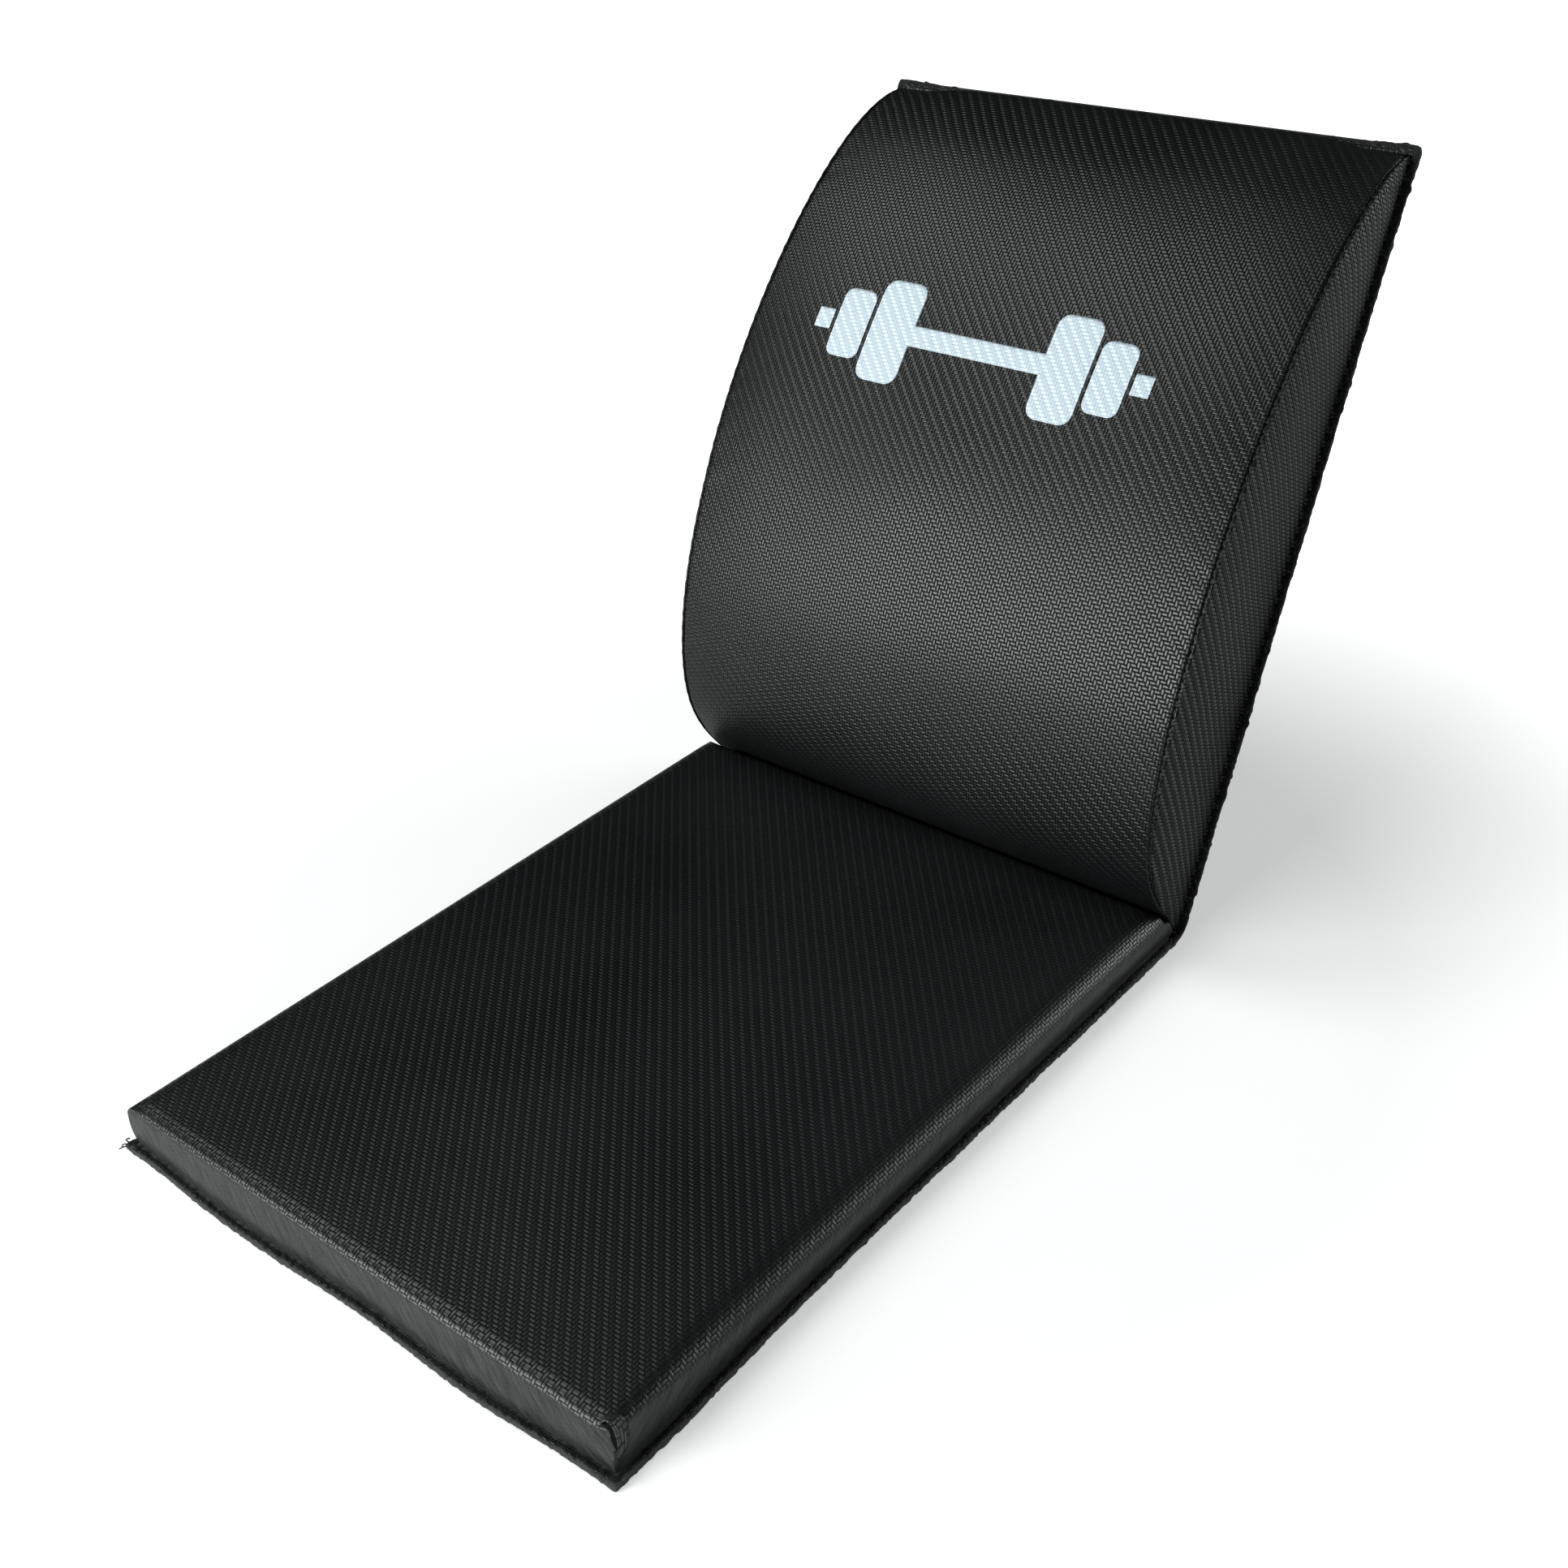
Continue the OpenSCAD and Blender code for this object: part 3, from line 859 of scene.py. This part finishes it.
def make_corner_ear():
    """The lip of cover cloth that stands over the right front corner seam, open towards the front."""
    corner = np.array([HALF_W, TAIL_L, TAIL_H])
    lip_length, lip_width = 15 * MM, 7 * MM

    def at(x, s, h):
        return np.array([x, s, h]) * MM

    t = np.linspace(0, 1, 25)
    rim = bezier(at(-3.4, 1.4, -2.2), at(-1.5, 2.2, 7.5), at(7.6, 2.0, 7.0), at(5.0, 2.8, -11.0), t)
    root = bezier(at(-5.0, 0.2, -0.8), at(-3.0, -5.0, 0.8), at(2.2, -9.0, 0.4), at(2.6, -5.0, -11.0), t)
    swell = bezier(at(0, 0, 0), at(-0.5, 0, 1.6), at(1.6, 0, 1.2), at(0.6, 0, 0), t)
    out = np.linspace(0, 1, 9)[:, None, None]
    points = root + (rim - root) * out + swell * 4 * out * (1 - out) * 0.4
    wave = 0.25 * MM * ripple(points, 2.5 * MM, 31)
    points = points + corner + stack(wave, wave, wave) * smooth(out * 2)
    uv = stack(t * lip_length, out[..., 0] * lip_width)
    # The lip is drawn in the paler vinyl, a painted highlight
    ear = grid_object("tail_corner_fold_right", tail_point(*np.moveaxis(points, -1, 0)), uv, VINYL_FOLD_HIGHLIGHT)
    shell(ear, 0.7 * MM)
    finish_piece(ear, TAIL)
    # A near-black sheet a little behind the fold's rim: painted shade inside the fold, standing also for the
    # vinyl's backing there
    chord = rim[0] + (rim[-1] - rim[0]) * t[:, None]
    behind = corner - np.array([0, 1.0 * MM, 0])
    inside = behind + rim * 0.96 + (chord - rim) * np.linspace(0, 1, 8)[:, None, None]
    fold_shade = grid_object("tail_corner_fold_shade_right", tail_point(*np.moveaxis(inside, -1, 0)),
                         inside[..., :2], FOLD_SHADE_CLOTH, flip=True)
    finish_piece(fold_shade, TAIL)


make_corner_ear()

# ---- edge tape

# The tape stops short of the fold, where a bending length of it takes over
TAPE_START = 9 * MM
STITCH_LINE = 2.9 * MM
TUCKED_STITCH_LINE = 1.9 * MM
GROOVE = 0.8 * MM
# The soft tape is pressed flatter than the room it has
TAPE_TOP = 0.74 * EDGE_TOP
PLACES = {TAIL: (tail_point, TAIL_L), BACK: (back_point, BACK_L)}


def tape_section(count=26):
    """(out, up) round the folded tape's section, dented along the line of thread on both faces."""
    a = np.linspace(0, 2 * np.pi, count, endpoint=False)
    half_w, half_h = (FLANGE - GROOVE) / 2, TAPE_TOP / 2
    out = GROOVE + half_w + half_w * np.sign(np.cos(a)) * np.abs(np.cos(a)) ** 0.5
    up = np.sign(np.sin(a)) * np.abs(np.sin(a)) ** 0.5
    dent = 0.22 * bell(out - STITCH_LINE, 0.55 * MM)
    return out, half_h + half_h * up * (1 - dent)


def corner_reach(angle, power):
    """How far a corner stands out at each angle: power 2 is round, a high one is pointed."""
    return (np.abs(np.cos(angle)) ** power + np.abs(np.sin(angle)) ** power) ** (-1 / power)


def edge_rings(length, right_power, left_power, step=1.6 * MM):
    """Rings round three sides of a pad: wall point and outward direction, as (x, s), and run 2 mm outside."""
    along = np.arange(TAPE_START, length, step)
    turn = np.linspace(0, np.pi / 2, 13)
    across = np.arange(HALF_W - step, -HALF_W + step / 2, -step)
    right = stack(HALF_W, along, 1.0, 0.0)
    reach = corner_reach(turn, right_power)
    first = stack(HALF_W, length, reach * np.cos(turn), reach * np.sin(turn))
    end = stack(across, length, 0.0, 1.0)
    reach = corner_reach(turn, left_power)
    second = stack(-HALF_W, length, -reach * np.sin(turn), reach * np.cos(turn))
    left = right[::-1] * np.array([-1, 1, -1, 1])
    rings = np.concatenate([right, first, end, second, left])
    steps = np.hypot(*np.diff(rings[:, :2] + 2 * MM * rings[:, 2:], axis=0).T)
    return rings[:, :2], rings[:, 2:], run_along(steps)


def tape_lumps(count, run, seed, burr=0.8):
    """Uneven, fluffy surface of the tape: (outward, upward) moves for each point of each ring."""
    around = np.linspace(0, 1, count, endpoint=False) * TAPE_ROUND
    places = stack(run[:, None], around, seed * 0.1)
    slow = ripple(places * np.array([1, 0.2, 1]), 26 * MM, seed)
    lumps = ripple(places, 5 * MM, seed + 1)
    fluff = ripple(places, 1.6 * MM, seed + 2)
    bites = 0.2 * MM * np.cos(2 * np.pi * run / SEAM_PITCH)[:, None]
    burrs = np.maximum(ripple(places * np.array([1, 0.3, 1]), 4.5 * MM, seed + 3) - 0.28, 0)
    out = 0.35 * slow + 0.25 * lumps + 0.25 * fluff + burr * burrs
    return out * MM, (0.5 * lumps + 0.45 * fluff) * MM + bites


def tube_object(name, points, run, flip, material):
    """A length of tape from rings of points (rows, cols, 3), closed at both ends."""
    rows, cols = points.shape[:2]
    uv = stack(run[:, None], np.linspace(0, TAPE_ROUND, cols + 1))
    corners = per_corner(grid_faces(rows, cols + 1, flip=flip), uv)
    corners += [(0, TAPE_ROUND / 2)] * (2 * cols)
    return new_object(name, points, tube_faces(rows, cols, flip=flip), corners, material)


def make_edge_tape(name, body, node, powers, reach, seed):
    """reach gives the tape's width, as a share, at each ring's (x, s)."""
    place, length = PLACES[body]
    wall, outward, run = edge_rings(length, *powers)
    out, up = tape_section()
    share = (out - GROOVE) / (FLANGE - GROOVE)
    rough_edge, rough_top = (2.6, 0.3) if body == BACK else (0.3, 0.85)
    wide, tall = tape_lumps(len(out), run, seed, burr=rough_edge)
    width = reach(wall[:, 0], wall[:, 1])[:, None]
    o = GROOVE + (out - GROOVE) * width + wide * share ** 2
    middle = TAPE_TOP / 2
    h = np.clip(up + tall * (up - middle) / middle * (rough_top + share), 0.02 * MM, None)
    points = place(wall[:, :1] + outward[:, :1] * o, wall[:, 1:] + outward[:, 1:] * o, h)
    tape = tube_object(name, points, run, body == TAIL, TAPE if body == TAIL else PALER_BACK_TAPE)
    finish_piece(tape, body, [node])


def tail_tape_width(x, s):
    """Fuller along the front, with pointed front corners."""
    corner = bell(np.hypot(HALF_W - np.abs(x), TAIL_L - s), 9 * MM)
    front = smooth((s - TAIL_L + 30 * MM) / (30 * MM))
    return 0.96 - 0.16 * front + 0.1 * corner


def back_tape_width(x, s):
    """Narrower along the sides and the middle of the top, with fuller top corners."""
    corner = bell(np.hypot(HALF_W - np.abs(x), BACK_L - s), 22 * MM)
    tucked = smooth((s - BACK_L + 8 * MM) / (8 * MM)) * smooth((HALF_W - np.abs(x) - 8 * MM) / (50 * MM))
    return 0.80 + 0.16 * corner - 0.3 * tucked


make_edge_tape("tail_edge_tape", TAIL, "tail_edge_binding", (9, 9), tail_tape_width, 41)
make_edge_tape("back_edge_tape", BACK, "back_edge_binding", (3, 7), back_tape_width, 51)

# ---- threads

def capsules(middles, alongs, ups, length, radius, bend):
    """One mesh of short threads that arch up in the middle and dive in at both ends."""
    rings, sides = 7, 6
    t = np.linspace(-1, 1, rings)
    angle = np.linspace(0, 2 * np.pi, sides, endpoint=False)
    size = radius * np.sqrt(np.maximum(1 - np.abs(t) ** 5, 0.04))
    lift = bend * (1 - t ** 2) - bend
    sideways = np.cross(alongs, ups)
    verts, faces = [], []
    for m, a, u, w in zip(middles, alongs, ups, sideways):
        start = len(verts)
        for i in range(rings):
            centre = m + a * (t[i] * length / 2) + u * lift[i]
            verts += [centre + size[i] * (math.cos(q) * w + math.sin(q) * u) for q in angle]
        faces += tube_faces(rings, sides, start)
    return verts, faces


def sew(line, ups, seed, pitch=SEAM_PITCH, length=3.3 * MM, radius=0.36 * MM, bend=0.35 * MM):
    """Stitches along a line of close points, each a little out of true."""
    run = run_along(np.linalg.norm(np.diff(line, axis=0), axis=1))
    at = np.arange(pitch / 2, run[-1] - pitch / 4, pitch)
    rng = np.random.default_rng(seed)
    at = at + rng.normal(0, 0.12 * MM, len(at))

    def sample(values, places):
        return stack(*[np.interp(places, run, values[:, i]) for i in range(3)])

    middles = sample(line, at)
    alongs = unit(sample(line, at + 0.5 * MM) - sample(line, at - 0.5 * MM))
    normals = sample(ups, at)
    normals = unit(normals - alongs * np.sum(alongs * normals, axis=1, keepdims=True))
    sideways = np.cross(alongs, normals)
    alongs = alongs + sideways * rng.normal(0, 0.05, (len(at), 1))
    middles = middles + sideways * rng.normal(0, 0.1 * MM, (len(at), 1))
    return capsules(middles, alongs, normals, length, radius, bend)


def loose_end(start, way, length, radius, seed):
    """A short curled end of thread."""
    rings, sides = 9, 5
    way = unit(way)
    curl = np.random.default_rng(seed).normal(0, 0.35, (3, 3))
    line = bezier(start, start + (way + curl[0]) * length / 3, start + (way + curl[1]) * length * 2 / 3,
                  start + (way + curl[2]) * length, np.linspace(0, 1, rings))
    along = unit(np.gradient(line, axis=0))
    side = unit(np.cross(along, [0.3, 0.9, 0.2]))
    other = np.cross(along, side)
    angle = np.linspace(0, 2 * np.pi, sides, endpoint=False)
    lines = [line + radius * (math.cos(q) * side + math.sin(q) * other) for q in angle]
    return list(np.stack(lines, axis=1).reshape(-1, 3)), tube_faces(rings, sides)


def thread_piece(name, body, nodes, parts):
    piece = new_object(name, *join(parts), material=THREAD)
    finish_piece(piece, body, nodes)


def straight(place, start, end, h, up):
    """(points, ups) of a straight row in a pad's own (x, s), at height h above its base."""
    t = np.linspace(0, 1, 200)
    x, s = start[0] + (end[0] - start[0]) * t, start[1] + (end[1] - start[1]) * t
    line = place(x, s, h)
    return line, (place(x, s, h + MM) - line) / MM * up


def make_tape_thread(body, node, seed, ends):
    """Rows on both faces of the tape, on three sides. Each loose end has a place, a way and a length."""
    place, length = PLACES[body]
    reach = HALF_W + STITCH_LINE
    end = length + (STITCH_LINE if body == TAIL else TUCKED_STITCH_LINE)
    corner_gap = 1.5 * MM
    parts = []
    for h, up in ((TAPE_TOP - 0.25 * MM, 1), (0.36 * MM, -1)):
        for side in (-1, 1):
            row = straight(place, (side * reach, TAPE_START), (side * reach, length + corner_gap), h, up)
            parts.append(sew(*row, seed + side + up, bend=0.25 * MM))
        row = straight(place, (-reach + corner_gap, end), (reach - corner_gap, end), h, up)
        parts.append(sew(*row, seed + 5 + up, bend=0.25 * MM))
    for i, (x, s, h, dx, ds, dh, end_length) in enumerate(ends):
        start = place(x, s, h)
        way = place(x + dx, s + ds, h + dh) - start
        parts.append(loose_end(start, way, end_length, 0.34 * MM, seed + i))
    thread_piece(f"{node}_rows", body, [node], parts)


def make_seam_thread(side):
    """The row in the valley along an arch seam, above where the tail pad touches."""
    v = np.linspace(34 * MM, FACE_TOP - 3 * MM, 500)
    x = side * (seam_reach(v) - SEAM_VALLEY)
    line = face_point(x, v, 0.25 * MM)
    ups = (face_point(x, v, 1.25 * MM) - line) / MM
    part = sew(line, ups, 70 + side, length=4.1 * MM, radius=0.42 * MM, bend=0.2 * MM)
    thread_piece(f"back_seam_rows_{SIDES[side]}", BACK, [f"back_seam_stitch_{SIDES[side]}"], [part])


def make_corner_thread(side, where):
    """The short row up a corner seam of the tail pad."""
    z = np.linspace(5 * MM, 15 * MM, 60)

    def lean(over):
        return over - (over + WALL_IN) * (1 - z / TAIL_H) ** 1.6

    x = side * (HALF_W + lean(WALL_OUT if side > 0 else LEFT_OUT))
    if where == "front":
        s = TAIL_L + lean(FRONT_OUT) - 0.7 * MM
    else:
        s = TAIL_H / math.tan(REAR) + 3.1 * MM + 0 * z
    line = tail_point(x, s, z)
    ups = np.broadcast_to(np.array([side, -0.2, 0.0]), line.shape)
    part = sew(line, ups, 80 + side, pitch=3.4 * MM, length=2.5 * MM, radius=0.28 * MM, bend=0.2 * MM)
    corner = f"{where}_{SIDES[side]}"
    thread_piece(f"tail_corner_rows_{corner}", TAIL, [f"tail_corner_seam_{corner}"], [part])


make_tape_thread(TAIL, "tail_binding_stitch", 60, [
    (-HALF_W - 4 * MM, TAIL_L + 2 * MM, 2 * MM, -1, 0.2, 0.3, 3.5 * MM),
    (-HALF_W - 4 * MM, TAIL_L + 3 * MM, 2 * MM, -1, 0.5, -0.2, 3 * MM),
    (-HALF_W - 3 * MM, TAIL_L + 4 * MM, 2 * MM, -0.8, 0.6, 0.1, 2.5 * MM)])
make_tape_thread(BACK, "back_binding_stitch", 65, [])
for seam_side in (-1, 1):
    make_seam_thread(seam_side)
    make_corner_thread(seam_side, "front")
    make_corner_thread(seam_side, "rear")

# ---- base panels

STRIP_W = FOLD.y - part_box("hinge_strip_tail")[0].y


def make_base_panel(name, body, node):
    """The pad's bottom, drawn slightly in and out by the tape's stitches."""
    place, length = PLACES[body]
    inside = 4.0 * MM
    x = (HALF_W + inside) * (2 * rounded_steps(110, 0.6) - 1)
    s = TAPE_START + (length + inside - TAPE_START) * rounded_steps(130, 0.6)
    xs, ss = np.meshgrid(x, s)
    from_edge = np.minimum(np.minimum(HALF_W - np.abs(xs), length - ss), ss - STRIP_W)
    slack = smooth(from_edge / (22 * MM))
    spot = stack(xs, ss, 9.0)
    wave = 0.5 + 0.5 * ripple(spot * np.array([1, 0.55, 1]), 60 * MM, 91)
    crimp = np.exp(-np.abs(from_edge) / (10 * MM)) * ripple(spot, 9 * MM, 93)
    h = 0.95 * MM - slack * (0.85 - 0.75 * wave) * MM + 0.16 * MM * crimp * (from_edge > -2 * MM)
    h = np.clip(h, 0.08 * MM, None)
    panel = grid_object(name, place(xs, ss, h), stack(xs, ss), BASE_CLOTH, flip=body == BACK)
    shell(panel, 1.1 * MM)
    finish_piece(panel, body, [node])


make_base_panel("tail_base_cloth", TAIL, "tail_base_panel")
make_base_panel("back_base_cloth", BACK, "back_base_panel")

# ---- the fold

# The cloth turns on an arc that starts this far from the fold line on both pads
FOLD_TANGENT = TAPE_START
FOLD_RADIUS = FOLD_TANGENT / math.tan(STAND / 2)


def fold_points(x, run, h):
    """Points at height h above a path that runs along both bases, rounding the fold line at run 0."""
    x, run, h = np.broadcast_arrays(x, run, h)
    arc = FOLD_RADIUS * STAND
    angle = np.clip(run + arc / 2, 0, arc) / FOLD_RADIUS
    before = np.maximum(-run - arc / 2, 0)
    after = np.maximum(run - arc / 2, 0)
    y = -FOLD_TANGENT - before + FOLD_RADIUS * np.sin(angle) + after * math.cos(STAND)
    z = FOLD_RADIUS * (1 - np.cos(angle)) + after * math.sin(STAND)
    return stack(x, FOLD.y + y - h * np.sin(angle), z + h * np.cos(angle))


def blend_fold(piece, nodes=()):
    """The piece, shaped round the fold between the two straight stretches: bakes its place into its mesh and
    hides the parts it stands for.
    """
    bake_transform(piece)
    if nodes:
        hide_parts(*nodes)


def make_hinge_strip():
    x = HALF_W * np.linspace(-1, 1, 80)
    half = STRIP_W - FOLD_TANGENT + FOLD_RADIUS * STAND / 2
    run = half * np.linspace(-1, 1, 90)
    xs, runs = np.meshgrid(x, run)
    spot = stack(xs, runs, 2.0)
    h = 0.22 * MM + 0.08 * MM * ripple(spot, 12 * MM, 95)
    strip = grid_object("hinge_strip", fold_points(xs, runs, h), spot[..., :2], HINGE_CLOTH, flip=True)
    shell(strip, 0.45 * MM)
    blend_fold(strip, ["hinge_strip_tail", "hinge_strip_back"])


def make_tape_bend(side):
    """The length of edge tape that turns the corner of the fold at one side."""
    half = FOLD_RADIUS * STAND / 2 + 1.5 * MM
    run = half * np.linspace(-1, 1, 25)
    out, up = tape_section()
    wide, tall = tape_lumps(len(out), run, 97 + side)
    share = (out - GROOVE) / (FLANGE - GROOVE)
    x = side * (HALF_W + GROOVE + (out - GROOVE) * 0.84 + wide * share ** 2)
    h = np.clip(up * 0.97 + 0.5 * tall * share, 0.05 * MM, None)
    points = fold_points(x, run[:, None], h)
    bend = tube_object(f"fold_tape_{SIDES[side]}", points, run, side < 0, PALER_BACK_TAPE)
    blend_fold(bend)


def make_hinge_thread(body, node):
    """The two rows across the strip, seen from below."""
    place, _ = PLACES[body]
    parts = []
    for i, share in enumerate((0.35, 0.85)):
        row = straight(place, (-HALF_W + 2 * MM, share * STRIP_W), (HALF_W - 2 * MM, share * STRIP_W),
                       0.42 * MM, -1)
        parts.append(sew(*row, 75 + i, bend=0.2 * MM, radius=0.3 * MM))
    thread_piece(f"{node}_rows", body, [node], parts)


make_hinge_strip()
make_tape_bend(1)
make_tape_bend(-1)
make_hinge_thread(TAIL, "hinge_stitch_tail")
make_hinge_thread(BACK, "hinge_stitch_back")

# ---- stage, light and camera

# The floor's glow beside the mat and far from it, and the distances at which the one turns into the other
FLOOR_GLOW = (0.38, 0.97)
GLOW_TURN = (0.3, 0.68)


def make_stage():
    size = 12.0
    corners = [(-size, -size, 0), (size, -size, 0), (size, size, 0), (-size, size, 0)]
    floor = new_object("floor", np.array(corners), [(0, 1, 2, 3)])
    n = new_material("pale_floor")
    n.paint("Base Color", grey(0.72))
    n.paint("Roughness", 0.9)
    n.paint("Emission Color", grey(1))
    # It looks white all round, but lights the mat only with what falls on it
    far = n.outputs("ShaderNodeVectorMath", {0: n.place()}, operation="LENGTH")["Value"]
    white = n.range(n.ramp(far, *GLOW_TURN), *FLOOR_GLOW)
    n.paint("Emission Strength", n.math("MULTIPLY", white, n.camera_ray()))
    floor.data.materials.append(n.owner)
    floor.location.z = -0.3 * MM


def soft_light(name, place, aim, size, power):
    data = bpy.data.lights.new(name, "AREA")
    data.shape = "RECTANGLE"
    data.size, data.size_y = size
    data.energy = power
    data.color = (0.95, 1.0, 0.985)
    light = put(name, data)
    light.location = place
    light.rotation_euler = (Vector(aim) - Vector(place)).to_track_quat("-Z", "Y").to_euler()


def make_lights():
    middle = (0, 0, 0.15)
    soft_light("front_softbox", (-0.9, -2.4, 0.98), middle, (2.0, 1.15), 94)
    soft_light("top_softbox", (-1.3, -0.35, 2.15), middle, (1.1, 1.1), 22)
    soft_light("back_softbox", (1.7, 2.2, 0.95), middle, (2.0, 1.2), 44)
    soft_light("right_fill", (1.6, -1.9, 0.9), middle, (1.2, 1.2), 11)
    n = Nodes(bpy.data.worlds.new("studio"), "Background")
    # The room looks pale behind the mat, but lights it only faintly, as black flags would make it
    n.paint("Color", grey(1))
    n.paint("Strength", n.range(n.camera_ray(), 0.02, 0.9))
    bpy.context.scene.world = n.owner
    bpy.context.scene.view_settings.view_transform = "Standard"


def make_camera():
    """A camera at the standard view: angles in degrees, focal length in picture widths."""
    azimuth, elevation, roll = math.radians(40.1), math.radians(33.5), math.radians(-2.85)
    data = bpy.data.cameras.new("camera")
    data.sensor_width = 36.0
    data.lens = 36.0 * 1.207
    data.shift_x, data.shift_y = -0.0368, 0.0327
    data.clip_start, data.clip_end = 0.01, 50.0
    camera = put("camera", data)
    forward = Vector((-math.sin(azimuth) * math.cos(elevation), math.cos(azimuth) * math.cos(elevation),
                      -math.sin(elevation)))
    facing = forward.to_track_quat("-Z", "Y").to_matrix() @ Matrix.Rotation(roll, 3, "Z")
    camera.matrix_world = Matrix.Translation(FOLD + Vector((0.5316, -0.7185, 0.5976))) @ facing.to_4x4()
    bpy.context.scene.camera = camera


make_stage()
make_lights()
make_camera()
